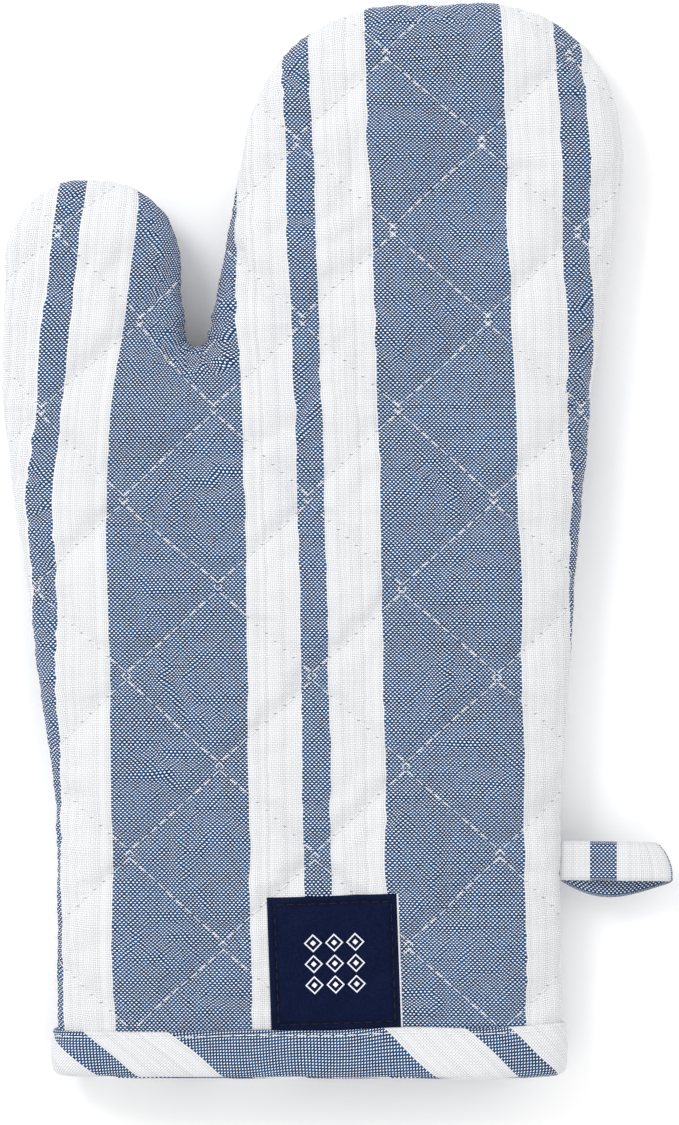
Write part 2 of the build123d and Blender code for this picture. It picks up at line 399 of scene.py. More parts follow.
def base_bag():
    """Front and back panels joined along the side seam, open at the cuff."""
    plan, faces = panel_plan()
    inset, _ = inset_and_normal(plan)
    inset = np.maximum(inset, 0)
    on_seam = inset < 0.05 * MM
    height = rise(inset)
    front = np.column_stack([plan, MID + height])
    back = np.column_stack([plan, MID - height])
    numbers = np.arange(len(plan))
    partner = np.where(on_seam, numbers, 0)
    partner[~on_seam] = len(plan) + np.arange(int((~on_seam).sum()))
    points = np.vstack([front, back[~on_seam]])
    turned = [[int(partner[i]) for i in reversed(face)] for face in faces]
    upward = []
    for face in faces:
        a, b, c = (plan[i] for i in face[:3])
        upward.append((b[0] - a[0]) * (c[1] - a[1]) - (b[1] - a[1]) * (c[0] - a[0]) > 0)
    all_faces = [f if up else f[::-1] for f, up in zip(faces, upward)]
    all_faces += [f if up else f[::-1] for f, up in zip(turned, upward)]
    return points, all_faces


def relax_as_cloth(points, faces, held, cap):
    """Blows the bag up gently as cloth, held where it is sewn, and caps how far a point moves."""
    scene = bpy.context.scene
    trial = linked("cloth_trial", new_mesh("cloth_trial", points, faces))
    group = trial.vertex_groups.new(name="sewn")
    for index, weight in enumerate(held):
        if weight > 0.01:
            group.add([index], float(weight), "REPLACE")
    modifier = trial.modifiers.new("cloth", "CLOTH")
    cloth = modifier.settings
    cloth.quality = 6
    cloth.mass = 0.25
    cloth.tension_stiffness = cloth.compression_stiffness = 12
    cloth.shear_stiffness = 6
    cloth.bending_stiffness = 0.4
    cloth.shrink_min = -0.035
    cloth.use_pressure = True
    cloth.uniform_pressure_force = 4.0
    cloth.vertex_group_mass = "sewn"
    cloth.effector_weights.gravity = 0
    for number in range(1, 21):
        scene.frame_set(number)
    moved, _, _ = read_mesh(evaluated(trial))
    scene.frame_set(1)
    shift = (moved - points) * [0.4, 0.4, 1.0]  # the quilting keeps the cloth from sliding
    size = np.linalg.norm(shift, axis=1)
    return points + shift * (cap * np.tanh(size / cap) / np.maximum(size, 1e-9))[:, None]


def subdivided(points, faces, rest, levels):
    """The bag with finer faces, and the rest position of each new point."""
    mesh = new_mesh("finer", points, faces)
    layer = mesh.attributes.new("rest", "FLOAT_VECTOR", "POINT")
    layer.data.foreach_set("vector", rest.astype(np.float32).ravel())
    trial = linked("finer", mesh)
    modifier = trial.modifiers.new("finer", "SUBSURF")
    modifier.levels = levels
    result = evaluated(trial)
    return (*read_mesh(result), read_vectors(result.attributes["rest"].data, "vector"))


def quilt(points, normals, plan, inset, uv, side):
    """Raises the puffs between the quilting lines and pinches the seams. side is 1 in front."""
    away, along = quilting_distance(uv)
    from_seam = seam_distance(inset)
    front = side >= 0
    puff = np.where(front, PUFF["front"], PUFF["back"])
    puff = puff * (1 + 0.16 * waves(uv, 38 * MM, 4, SEED + 2))
    fullness = 1 - np.exp(-((away / (7.0 * MM)) ** 1.3))
    edge = smoothstep(from_seam, 0, 11 * MM)
    cuff = smoothstep(plan[:, 1], BINDING_TOP, BINDING_TOP + 9 * MM)
    height = puff * fullness * edge * cuff
    # each stitch pulls the cloth down a little, and it gathers between the stitches
    gathers = np.cos(along * math.tau / STITCH_PITCH)
    height -= 0.07 * MM * gathers * np.exp(-away / (1.6 * MM)) * edge
    creases = waves(np.column_stack([along, away * 0.25]), 7.5 * MM, 5, SEED + 3)
    height += 0.10 * MM * creases * np.exp(-((away - 3 * MM) / (3.6 * MM)) ** 2) * edge
    # long soft folds of the whole panel
    height += 0.35 * MM * waves(uv, 60 * MM, 4, SEED + 4) * edge * cuff
    # the turned side seam draws the cloth in, with small puckers
    pucker = waves(np.column_stack([plan.sum(axis=1), plan[:, 1]]), 7 * MM, 4, SEED + 5)
    height -= (0.8 + 0.25 * pucker) * MM * np.exp(-((from_seam / (1.3 * MM)) ** 2))
    height += 0.22 * MM * pucker * np.exp(-((from_seam - 3 * MM) / (2.5 * MM)) ** 2)
    # the cleft is clipped and sewn tight, so creases run out from it
    reach = plan - CLEFT
    distance = np.linalg.norm(reach, axis=1)
    turn = np.arctan2(reach[:, 1], reach[:, 0])
    height += 0.45 * MM * np.sin(turn * 9 + 1.0) * np.exp(-((distance - 8 * MM) / (7 * MM)) ** 2)
    return points + normals * height[:, None]


def rest_on_floor(points, level):
    """Flattens what would hang lower than the floor."""
    over = points[:, 2] - level
    soft = 0.6 * MM
    points[:, 2] = level + 0.5 * (over + np.sqrt(over * over + soft * soft))
    return points


def sewn_bag():
    """The whole cover as one quilted surface, and the unquilted bag that the inner layers follow."""
    points, faces = base_bag()
    plan = points[:, :2]
    inset, outward = inset_and_normal(plan)
    uv = fabric_coordinates(plan, np.maximum(inset, 0), outward)
    away, _ = quilting_distance(uv)
    held = 0.8 * np.exp(-((away / (4.0 * MM)) ** 2))
    held[inset < 0.5 * MM] = 1.0
    held = np.maximum(held, smoothstep(-plan[:, 1], -BINDING_TOP - 9 * MM, -BINDING_TOP - 2 * MM))
    shaped = relax_as_cloth(points, faces, held, CLOTH_MOVES)
    inner_points, inner_faces, _, inner_rest = subdivided(shaped, faces, points, 1)
    inner = {"points": inner_points, "faces": inner_faces, "rest": inner_rest}
    fine, fine_faces, fine_normals, rest = subdivided(shaped, faces, points, 2)
    plan = rest[:, :2]
    inset, outward = inset_and_normal(plan)
    inset = np.maximum(inset, 0)
    uv = fabric_coordinates(plan, inset, outward)
    side = np.sign(np.round((rest[:, 2] - MID) / MM, 3))
    fine = quilt(fine, fine_normals, plan, inset, uv, side)
    fine = rest_on_floor(fine, 0.3 * MM)
    inner["points"] = rest_on_floor(inner["points"], 1.2 * MM)
    _, _, normals = read_mesh(new_mesh("for_normals", fine, fine_faces))
    cover = {"points": fine, "faces": fine_faces, "normals": normals, "rest": rest, "uv": uv}
    return cover, inner


def zone_masks(bag):
    """For each of the four panel parts, which faces belong to it."""
    rest = bag["rest"]
    centres = np.array([rest[face].mean(axis=0) for face in bag["faces"]])
    thumb = ((centres[:, :2] - CLEFT) @ THUMB_OUTWARD > 0) & (centres[:, 0] < CLEFT[0])
    front = centres[:, 2] > MID
    return {
        ("front", "palm"): front & ~thumb,
        ("front", "thumb"): front & thumb,
        ("back", "palm"): ~front & ~thumb,
        ("back", "thumb"): ~front & thumb,
    }


def bend(piece, part):
    """Bakes the piece's transform into its mesh, for the thumb as for the palm; it is not set to bend at
    either fold.
    """
    if part == "thumb":
        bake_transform(piece)
    else:
        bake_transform(piece)


def on_palm(piece, node):
    """The piece shows one CAD node of the palm, and moves with it."""
    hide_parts(node)
    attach(piece, "palm")


def in_layer(piece, side, layer, part):
    """The piece shows one layer's CAD nodes on its part of the mitt, which are hidden, and its transform is
    baked; it does not bend with that part.
    """
    if part == "thumb":
        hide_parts(f"{side}_{layer}_thumb")
    else:
        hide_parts(f"{side}_{layer}_palm", f"{side}_{layer}_fingers")
    bend(piece, part)


def sheet_on_wadding(side, part, flat, area):
    """Works out a layer's size from its places on the flat cloth, and its name; nothing is done with either.
    """
    size = flat.max(axis=0) - flat.min(axis=0)
    name_of(side, "wadding", part)


def name_of(side, layer, part):
    return f"{side}_{layer}" if part == "palm" else f"{side}_{layer}_on_thumb"


def plain_area(points, faces):
    """Area of the faces, each taken as a fan of triangles."""
    total = 0.0
    for face in faces:
        corner = points[face[0]]
        for i in range(1, len(face) - 1):
            total += np.linalg.norm(np.cross(points[face[i]] - corner, points[face[i + 1]] - corner)) / 2
    return total


def thickened(points, normals, faces, over, under):
    """A closed layer between two depths under a surface."""
    count = len(points)
    solid = np.vstack([points - normals * over, points - normals * under])
    all_faces = [list(face) for face in faces] + [[i + count for i in reversed(face)] for face in faces]
    edges = dict.fromkeys((a, b) for face in faces for a, b in zip(face, face[1:] + face[:1]))
    for a, b in edges:
        if (b, a) not in edges:
            all_faces.append([b, a, a + count, b + count])
    return solid, all_faces


# ---- sewing thread
class Surface:
    """One side of the cover, looked up by its place on the flat cloth."""

    def __init__(self, cover, front):
        centres = np.array([cover["rest"][face, 2].mean() for face in cover["faces"]])
        chosen = (centres > MID) == front
        self.triangles = []
        for face, wanted in zip(cover["faces"], chosen):
            if wanted:
                self.triangles.append((face[0], face[1], face[2]))
                self.triangles.append((face[0], face[2], face[3]))
        self.points, self.normals, self.uv = cover["points"], cover["normals"], cover["uv"]
        flat = [(u, v, 0.0) for u, v in self.uv]
        self.tree = BVHTree.FromPolygons(flat, self.triangles)

    def at(self, u, v):
        """The point and normal at a place on the cloth, or None off its edge."""
        hit, _, number, distance = self.tree.find_nearest((u, v, 0.0))
        if hit is None or distance > 0.2 * MM:
            return None
        corners = list(self.triangles[number])
        a, b, c = self.uv[corners]
        p = np.array(hit[:2])
        whole = (b[0] - a[0]) * (c[1] - a[1]) - (b[1] - a[1]) * (c[0] - a[0])
        if abs(whole) < 1e-14:
            return None
        wb = ((p[0] - a[0]) * (c[1] - a[1]) - (p[1] - a[1]) * (c[0] - a[0])) / whole
        wc = ((b[0] - a[0]) * (p[1] - a[1]) - (b[1] - a[1]) * (p[0] - a[0])) / whole
        weights = np.array([1 - wb - wc, wb, wc])
        normal = weights @ self.normals[corners]
        return weights @ self.points[corners], normal / max(np.linalg.norm(normal), 1e-9)


def thread_tube(path, normals, radius, sides=6):
    """Points and faces of a thread along a path, closed at both ends."""
    points = []
    count = len(path)
    for i in range(count):
        tangent = path[min(i + 1, count - 1)] - path[max(i - 1, 0)]
        tangent /= max(np.linalg.norm(tangent), 1e-12)
        across = np.cross(tangent, normals[i])
        across /= max(np.linalg.norm(across), 1e-12)
        upward = np.cross(across, tangent)
        taper = 0.55 if i in (0, count - 1) else 1.0
        for k in range(sides):
            angle = math.tau * k / sides
            points.append(path[i] + (across * math.cos(angle) + upward * math.sin(angle)) * radius * taper)
    faces = grid_faces(count, sides, columns_closed=True)
    faces.append(list(range(sides))[::-1])
    faces.append([(count - 1) * sides + k for k in range(sides)])
    return points, faces


class Stitching:
    """Collects stitches into one piece."""

    def __init__(self):
        self.points, self.faces = [], []

    def add(self, path, normals, radius):
        points, faces = thread_tube(path, normals, radius)
        start = len(self.points)
        self.points += points
        self.faces += [[i + start for i in face] for face in faces]

    def piece(self, name, material):
        return new_piece(name, np.array(self.points), self.faces, material)


def stitch_path(places, radius):
    """A stitch over the given surface points: it dives at both ends and lies proud between."""
    count = len(places)
    path, normals = [], []
    for k, (point, normal) in enumerate(places):
        lift = math.sin(math.pi * k / (count - 1))
        path.append(point + normal * radius * (1.7 * lift - 0.7))
        normals.append(normal)
    return path, normals


def quilting_threads(cover, side, material):
    """White running stitches along the zigzags of one side, in two pieces."""
    surface = Surface(cover, side == "front")
    lots = {"palm": Stitching(), "thumb": Stitching()}
    draw = np.random.default_rng(SEED + 20 + (side == "back"))
    length = (PLAN_REACH[1] - QUILT_START[1]) * STITCH_PER_V
    for column in range(QUILT_ZIGZAGS):
        for number in range(int(length / STITCH_PITCH)):
            start = number * STITCH_PITCH + draw.uniform(0, 0.3) * MM
            places = []
            for step in np.linspace(0, STITCH_LENGTH, 5):
                v = QUILT_START[1] + (start + step) / STITCH_PER_V
                found = surface.at(zigzag_u(column, v), v)
                if found is not None:
                    places.append(found)
            if len(places) < 5:
                continue
            middle = places[2][0]
            near_seam = inset_and_normal(middle[None, :2])[0][0] < 1.2 * MM
            if near_seam or middle[1] < BINDING_TOP + 0.5 * MM:
                continue
            if side == "front" and on_label(middle[:2], -0.5 * MM):
                continue
            if np.linalg.norm(places[0][0] - places[-1][0]) > 1.6 * STITCH_LENGTH:
                continue
            past_fold = (middle[:2] - CLEFT) @ THUMB_OUTWARD > 0
            part = "thumb" if past_fold and middle[0] < CLEFT[0] else "palm"
            lots[part].add(*stitch_path(places, THREAD_RADIUS), THREAD_RADIUS)
    for part, lot in lots.items():
        piece = lot.piece(name_of(side, "quilting", part), material)
        in_layer(piece, side, "quilting", part)


# ---- label
LABEL_WIDTH = LABEL_HIGH[0] - LABEL_LOW[0]
LABEL_HEIGHT = LABEL_HIGH[1] - BINDING_TOP
LABEL_CENTRE = np.array([(LABEL_LOW[0] + LABEL_HIGH[0]) / 2, LABEL_HIGH[1] - LABEL_HEIGHT / 2])
LABEL_TILT = math.radians(2.0)
LABEL_STITCH_INSET = 2.3 * MM
LABEL_STITCHES = 11  # along each side
LABEL_THREAD_RADIUS = 0.2 * MM
LABEL_RIB = 0.42 * MM


def label_place(a, b):
    """Plan position of a place on the label, with a and b from -1 to 1."""
    x, y = a * LABEL_WIDTH / 2, b * LABEL_HEIGHT / 2
    cos, sin = math.cos(LABEL_TILT), math.sin(LABEL_TILT)
    return LABEL_CENTRE + np.array([x * cos - y * sin, x * sin + y * cos])


def on_label(place, margin):
    """Whether a plan position is on the label, or this much past its edge."""
    x, y = place - LABEL_CENTRE
    a = x * math.cos(LABEL_TILT) + y * math.sin(LABEL_TILT)
    b = -x * math.sin(LABEL_TILT) + y * math.cos(LABEL_TILT)
    return abs(a) < LABEL_WIDTH / 2 + margin and abs(b) < LABEL_HEIGHT / 2 + margin


class FromAbove:
    """A surface looked at from above."""

    def __init__(self, points, faces):
        self.tree = BVHTree.FromPolygons([tuple(p) for p in points], faces)

    def at(self, x, y):
        """The highest point at a plan position and the normal there, or None past the edge."""
        hit, normal, _, _ = self.tree.ray_cast(Vector((x, y, 0.1)), Vector((0, 0, -1)))
        return None if hit is None else (np.array(hit), np.array(normal))


def label_piece(front, material):
    """A small padded square with turned edges, and a stitch line that pinches it."""
    count = 58
    sides = np.linspace(-1, 1, count)
    points, fabric, pinch = [], [], []
    plan = np.array([label_place(a, b) for b in sides for a in sides])
    under = [front.at(x, y) for x, y in plan]
    base = np.array([MID if found is None else found[0][2] for found in under]).reshape(count, count)
    for _ in range(5):  # the label bridges the hollows of the quilting
        padded = np.pad(base, 1, mode="edge")
        base = (padded[:-2, 1:-1] + padded[2:, 1:-1] + padded[1:-1, :-2] + padded[1:-1, 2:] + 2 * base) / 6
    for row, b in enumerate(sides):
        for column, a in enumerate(sides):
            x, y = plan[row * count + column]
            edge = min((1 - abs(a)) * LABEL_WIDTH, (1 - abs(b)) * LABEL_HEIGHT) / 2
            round_off = math.sqrt(max(0.0, 1 - (1 - min(edge / (0.9 * MM), 1)) ** 2))
            groove = math.exp(-(((edge - LABEL_STITCH_INSET) / (0.75 * MM)) ** 2))
            swell = 0.7 * MM * min(1.0, max(0.0, edge - LABEL_STITCH_INSET) / (6 * MM))
            z = base[row, column] + 0.15 * MM + 0.95 * MM * round_off + swell - 0.5 * MM * groove
            points.append((x, y, z))
            fabric.append((a * LABEL_WIDTH / 2, b * LABEL_HEIGHT / 2))
            # how deep the stitch groove is at each point, kept for the painted shade that darkens it
            pinch.append(groove)
    points = np.array(points)
    grain = waves(np.array(fabric) * [1, 0.4], 9 * MM, 5, SEED + 6)
    points[:, 2] += 0.12 * MM * grain
    faces = grid_faces(count, count)
    border = list(range(count)) + [r * count + count - 1 for r in range(1, count)]
    border += [count * (count - 1) + c for c in range(count - 2, -1, -1)]
    border += [r * count for r in range(count - 2, 0, -1)]
    skirt = points[border].copy()
    skirt[:, 2] -= 0.8 * MM
    start = len(points)
    points = np.vstack([points, skirt])
    fabric += [fabric[i] for i in border]
    pinch += [0.0] * len(border)
    for k, place in enumerate(border):
        n = (k + 1) % len(border)
        faces.append([border[n], place, start + k, start + n])
    piece = new_piece("label_patch", points, faces, material, fabric=np.array(fabric), pinch=pinch)
    on_palm(piece, "label")
    return piece


def label_threads(label, material):
    """Dark running stitches round the label, just inside its edge."""
    patch = FromAbove(*read_mesh(label.data)[:2])
    lot = Stitching()
    inner_a = 1 - 2 * LABEL_STITCH_INSET / LABEL_WIDTH
    inner_b = 1 - 2 * LABEL_STITCH_INSET / LABEL_HEIGHT
    corners = [(-inner_a, -inner_b), (inner_a, -inner_b), (inner_a, inner_b), (-inner_a, inner_b)]
    for (a0, b0), (a1, b1) in zip(corners, corners[1:] + corners[:1]):
        for number in range(LABEL_STITCHES):
            steps = np.linspace(number + 0.1, number + 0.86, 4) / LABEL_STITCHES
            places = [patch.at(*label_place(a0 + (a1 - a0) * step, b0 + (b1 - b0) * step)) for step in steps]
            if all(place is not None for place in places):
                lot.add(*stitch_path(places, LABEL_THREAD_RADIUS), LABEL_THREAD_RADIUS)
    piece = lot.piece("label_threads", material)
    on_palm(piece, "label_stitching")


# ---- binding
BIAS = (0.644, 0.708)  # how much u grows along the strip, and across it
BIAS_START = 47.0 * MM
BINDING_STITCH_DEPTH = 2.9 * MM  # how far under the strip's folded edge it is stitched


def mouth_path(y_level):
    """The cover's section across the cuff, as evenly spaced points (x, z) with outward normals."""
    near = OUTLINE_POINTS[np.abs(OUTLINE_POINTS[:, 1] - y_level) < 1 * MM]
    left, right = near[:, 0].min(), near[:, 0].max()
    depth = np.linspace(0, 1, 60) ** 2 * PROFILE_DEPTH
    height = rise(depth)
    top = [(left + d, h) for d, h in zip(depth, height)]
    top += [(right - d, h) for d, h in zip(depth[::-1], height[::-1])]
    top = np.array(top)
    loop = np.vstack([top, top[-2:0:-1] * [1, -1]])
    loop = np.vstack([loop, loop[:1]])
    length = lengths_along(loop)
    count = 330
    places = np.linspace(0, length[-1], count, endpoint=False)
    x, z = (np.interp(places, length, loop[:, k]) for k in (0, 1))
    path = np.column_stack([x, z])
    tangent = unit_rows(np.roll(path, -1, axis=0) - np.roll(path, 1, axis=0))
    normal = np.column_stack([-tangent[:, 1], tangent[:, 0]])
    for _ in range(4):
        normal = (np.roll(normal, 1, axis=0) + normal + np.roll(normal, -1, axis=0)) / 3
    return path, unit_rows(normal), places


def binding_profile():
    """Offsets from the cover (outwards) and heights along Y of the folded strip, from its outer edge."""
    shape = [(-0.2, 0.0), (0.5, 0.35), (1.1, 0.1), (1.45, -0.5), (1.5, -1.0), (1.5, -1.6)]
    shape += [(1.6, -3.0), (1.75, -5.5), (1.8, -8.0), (1.75, -10.0), (1.55, -11.6)]
    rim = 7
    for k in range(1, rim + 1):
        angle = math.pi * k / (rim + 1)
        shape.append((-2.15 + 3.7 * math.cos(angle), -11.6 - 3.3 * math.sin(angle)))
    shape += [(-5.85, -11.6), (-6.0, -9.0), (-6.05, -6.5), (-6.0, -3.0)]
    shape += [(-5.9, -1.2), (-5.5, -0.3), (-4.9, -0.1)]
    return np.array(shape) * MM


def binding_pieces(material, thread):
    """The bias strip folded over the mouth, and its topstitching."""
    path, normal, places = mouth_path(BINDING_TOP)
    profile = binding_profile()
    across = lengths_along(profile)
    middle = (BINDING_LOW[0] + BINDING_HIGH[0]) / 2
    points, fabric = [], []
    at_middle = int(np.argmax(path[:, 0] > middle))
    wave_at = np.column_stack([places, np.zeros(len(places))])
    ripple = waves(wave_at, 16 * MM, 5, SEED + 7)
    edge_drift = 0.25 * MM * waves(wave_at, 40 * MM, 4, SEED + 8)
    rim_drift = 0.22 * MM * waves(wave_at, 48 * MM, 4, SEED + 9)
    for k in range(len(path)):
        tilt = (path[k][0] - middle) * 0.012
        for j, (out, down) in enumerate(profile):
            near_edge = smoothstep(down, -9 * MM, 0)
            swell = 0.16 * MM * ripple[k] * (1 if 3 < j < len(profile) - 4 else 0)
            groove = math.exp(-(((across[j] - BINDING_STITCH_DEPTH) / (0.8 * MM)) ** 2))
            spot = path[k] + normal[k] * (out + swell - 0.35 * MM * groove)
            near_rim = smoothstep(-down, 6 * MM, 14 * MM)
            y = BINDING_TOP + down + (tilt + edge_drift[k]) * near_edge + rim_drift[k] * near_rim
            points.append((spot[0], max(y, CUFF_END), max(MID + spot[1], 0.05 * MM)))
            along = places[k] - places[at_middle] + path[at_middle, 0]
            u = BIAS[0] * along - BIAS[1] * across[j] + BIAS_START
            fabric.append((u, BIAS[1] * along + BIAS[0] * across[j]))
    faces = [face[::-1] for face in grid_faces(len(path), len(profile), rows_closed=True)]
    points, fabric = np.array(points), np.array(fabric)
    fabric += 0.3 * MM * np.column_stack(
        [waves(fabric, 22 * MM, 4, SEED + 10), waves(fabric, 26 * MM, 4, SEED + 12)]
    )
    piece = new_piece("bias_binding", points, faces, material, fabric=fabric)
    on_palm(piece, "binding")
    binding_threads(points.reshape(len(path), len(profile), 3), thread)


def binding_threads(grid, material):
    """White topstitches round the binding, just under its folded edge."""
    line = (grid[:, 4] + grid[:, 5]) / 2
    across = grid[:, 5] - grid[:, 4]
    length = lengths_along(line)
    lot = Stitching()
    for number in range(int(length[-1] / STITCH_PITCH)):
        places = []
        for step in np.linspace(0, STITCH_LENGTH, 5):
            at = number * STITCH_PITCH + step
            point = np.array([np.interp(at, length, line[:, k]) for k in range(3)])
            k = min(int(np.searchsorted(length, at)), len(line) - 2)
            tangent = line[k + 1] - line[k]
            places.append((point, unit(np.cross(tangent, across[k]))))
        if places[0][1] @ (places[0][0] - np.array([0, line[0][1], MID])) < 0:
            places = [(point, -normal) for point, normal in places]
        lot.add(*stitch_path(places, THREAD_RADIUS), THREAD_RADIUS)
    piece = lot.piece("binding_threads", material)
    on_palm(piece, "binding_stitching")


# ---- hanging loop
LOOP_GRAIN_START = 48.4 * MM + STRIPE_START  # where on the striped cloth the tape was cut


def loop_piece(material):
    """A flat tape folded back on itself, its under leg bowed a little towards the cuff."""
    root_x = LOOP_LOW[0] - 1.0 * MM
    end_radius = 4.6 * MM
    end_x = LOOP_HIGH[0] - end_radius - 1.2 * MM
    middle_y = (LOOP_LOW[1] + LOOP_HIGH[1]) / 2
    width = LOOP_HIGH[1] - LOOP_LOW[1]
    half = 0.75 * MM  # half the tape's thickness
    twist = -2.6 * MM  # how far towards the cuff the fold has slipped at its lower side
    route = []
    for share in np.linspace(0, 1, 24):
        x = root_x + (end_x - root_x) * share
        z = MID + half + (end_radius - half) * smoothstep(share, 0.05, 1.0)
        route.append((x, middle_y, z))
    for angle in np.linspace(0, math.pi, 12)[1:-1]:
        x = end_x + end_radius * math.sin(angle)
        route.append((x, middle_y + twist * (angle / math.pi) ** 2, MID + end_radius * math.cos(angle)))
    for share in np.linspace(1, 0, 24):
        x = root_x + (end_x - root_x) * share
        z = MID - half - (end_radius - half) * smoothstep(share, 0.05, 1.0)
        bow = twist * share - 4.2 * MM * math.sin(math.pi * share**0.9)
        route.append((x, middle_y + bow, z))
    route = np.array(route)
    for _ in range(3):
        route[1:-1] = (route[:-2] + route[1:-1] + route[2:]) / 3
    length = lengths_along(route)
    section = []
    for across in np.linspace(-1, 1, 17):
        past_flat = max(0.0, abs(across) - 0.9) / 0.1
        thick = math.sqrt(max(0.0, 1 - past_flat**2))
        dip = 0.22 * math.exp(-(((abs(across) - 0.72) / 0.07) ** 2))
        section.append((across, thick - dip))
    ring = [(a, t) for a, t in section] + [(a, -t) for a, t in section[::-1]]
    points, fabric = [], []
    for i, place in enumerate(route):
        tangent = unit(route[min(i + 1, len(route) - 1)] - route[max(i - 1, 0)])
        outward = np.cross(tangent, (0, 1, 0))
        outward *= -1 if outward[2] * (place[2] - MID) < 0 else 1
        outward = unit(np.array([outward[0], 0, outward[2]]))
        near_fold = smoothstep(place[0], end_x - 9 * MM, end_x + end_radius)
        for a, t in ring:
            slip = -4.5 * MM * ((1 + a) / 2) ** 2.5 * near_fold  # the fold is not square
            points.append(place + np.array([slip, a * width / 2, 0]) + outward * t * half)
            fabric.append((length[i] + LOOP_GRAIN_START, a * width / 2 + (0 if t > 0 else width)))
    size = len(ring)
    faces = grid_faces(len(route), size, columns_closed=True)
    faces.append(list(range(size))[::-1])
    faces.append([(len(route) - 1) * size + k for k in range(size)])
    piece = new_piece("loop_tape", np.array(points), faces, material, fabric=np.array(fabric))
    bm = bmesh.new()
    bm.from_mesh(piece.data)
    bmesh.ops.recalc_face_normals(bm, faces=bm.faces)
    bm.to_mesh(piece.data)
    bm.free()
    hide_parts("hanging_loop")
    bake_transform(piece)


# ---- shader helpers
def formula(operation):
    """A method of Value that adds one math node."""
    return lambda self, *others: self.shader.math(operation, self, *others)


class Value:
    """A number in a node tree, so that a formula reads as one."""

    def __init__(self, shader, socket):
        self.shader, self.socket = shader, socket

    def __rsub__(self, other):
        return self.shader.math("SUBTRACT", other, self)

    __add__ = __radd__ = formula("ADD")
    __mul__ = __rmul__ = formula("MULTIPLY")
    __sub__ = formula("SUBTRACT")
    __truediv__ = formula("DIVIDE")
    __pow__ = formula("POWER")
    __mod__ = formula("FLOORED_MODULO")
    __lt__ = formula("LESS_THAN")
    __gt__ = formula("GREATER_THAN")
    __abs__ = formula("ABSOLUTE")
    floor = formula("FLOOR")
    sin = formula("SINE")
    cos = formula("COSINE")
    at_least = formula("MAXIMUM")
    at_most = formula("MINIMUM")


class Shader:
    """A material with a Principled shader and short ways to add nodes."""

    def __init__(self, name):
        self.material = bpy.data.materials.new(name)
        self.material.use_nodes = True
        self.tree = self.material.node_tree
        self.principled = self.tree.nodes["Principled BSDF"]

    def node(self, kind, **settings):
        made = self.tree.nodes.new(kind)
        for key, value in settings.items():
            setattr(made, key, value)
        return made

    def plug(self, value, socket):
        """Links a value to a socket, or sets the socket to a number or a colour."""
        if isinstance(value, Value):
            self.tree.links.new(value.socket, socket)
        else:
            socket.default_value = (*value, 1.0) if isinstance(value, tuple) else value

    def math(self, operation, *values):
        made = self.node("ShaderNodeMath", operation=operation)
        for value, socket in zip(values, made.inputs):
            self.plug(value, socket)
        return Value(self, made.outputs[0])

    def split(self, vector):
        """The three numbers of a vector output."""
        made = self.node("ShaderNodeSeparateXYZ")
        self.tree.links.new(vector, made.inputs[0])
        return [Value(self, output) for output in made.outputs]

    def cloth_place(self):
        """The place on the flat cloth, across the stripes and along them."""
        made = self.node("ShaderNodeAttribute", attribute_name="fabric")
        return self.split(made.outputs["Vector"])[:2]

    def position(self):
        """The place in the scene."""
        return self.split(self.node("ShaderNodeNewGeometry").outputs["Position"])

    def join(self, x, y, z=0.0):
        made = self.node("ShaderNodeCombineXYZ")
        for value, socket in zip((x, y, z), made.inputs):
            self.plug(value, socket)
        return made.outputs[0]

    def random(self, x, y=0.0):
        """One random number from 0 to 1 for each pair of whole numbers."""
        made = self.node("ShaderNodeTexWhiteNoise", noise_dimensions="2D")
        self.tree.links.new(self.join(x, y), made.inputs["Vector"])
        return Value(self, made.outputs["Value"])

    def noise(self, x, y, scale, detail=2.0):
        made = self.node("ShaderNodeTexNoise", noise_dimensions="2D")
        made.inputs["Scale"].default_value = scale
        made.inputs["Detail"].default_value = detail
        self.tree.links.new(self.join(x, y), made.inputs["Vector"])
        return Value(self, made.outputs["Fac"])

    def mix(self, share, first, second):
        """A colour between two, each a colour or the output of another mix."""
        made = self.node("ShaderNodeMix", data_type="RGBA")
        self.plug(share, made.inputs["Factor"])
        self.plug(first, made.inputs[6])
        self.plug(second, made.inputs[7])
        return Value(self, made.outputs[2])

    def shade(self, colour, share):
        """The colour made darker by a number from 0 to 1."""
        made = self.node("ShaderNodeVectorMath", operation="SCALE")
        self.plug(colour, made.inputs[0])
        self.plug(share, made.inputs["Scale"])
        return Value(self, made.outputs[0])

    def finish(self, colour, height, distance, strength=0.5, roughness=0.85, sheen=0.15, specular=0.2):
        """Gives the surface its colour, fine relief and gloss, and returns the material."""
        bump = self.node("ShaderNodeBump")
        for name, value in (("Strength", strength), ("Distance", distance), ("Height", height)):
            self.plug(value, bump.inputs[name])
        surface = {"Base Color": colour, "Normal": Value(self, bump.outputs[0]), "Roughness": roughness,
                   "Specular IOR Level": specular, "Sheen Weight": sheen, "Sheen Roughness": 0.5}
        for name, value in surface.items():
            self.plug(value, self.principled.inputs[name])
        return self.material


def plain_weave(u, v, pitch):
    """Thread numbers, the offset from the nearest crossing, and 1 where the warp is on top."""
    a, b = u / pitch, v / pitch
    column, row = a.floor(), b.floor()
    return column, row, a - column - 0.5, b - row - 0.5, (column + row) % 2.0


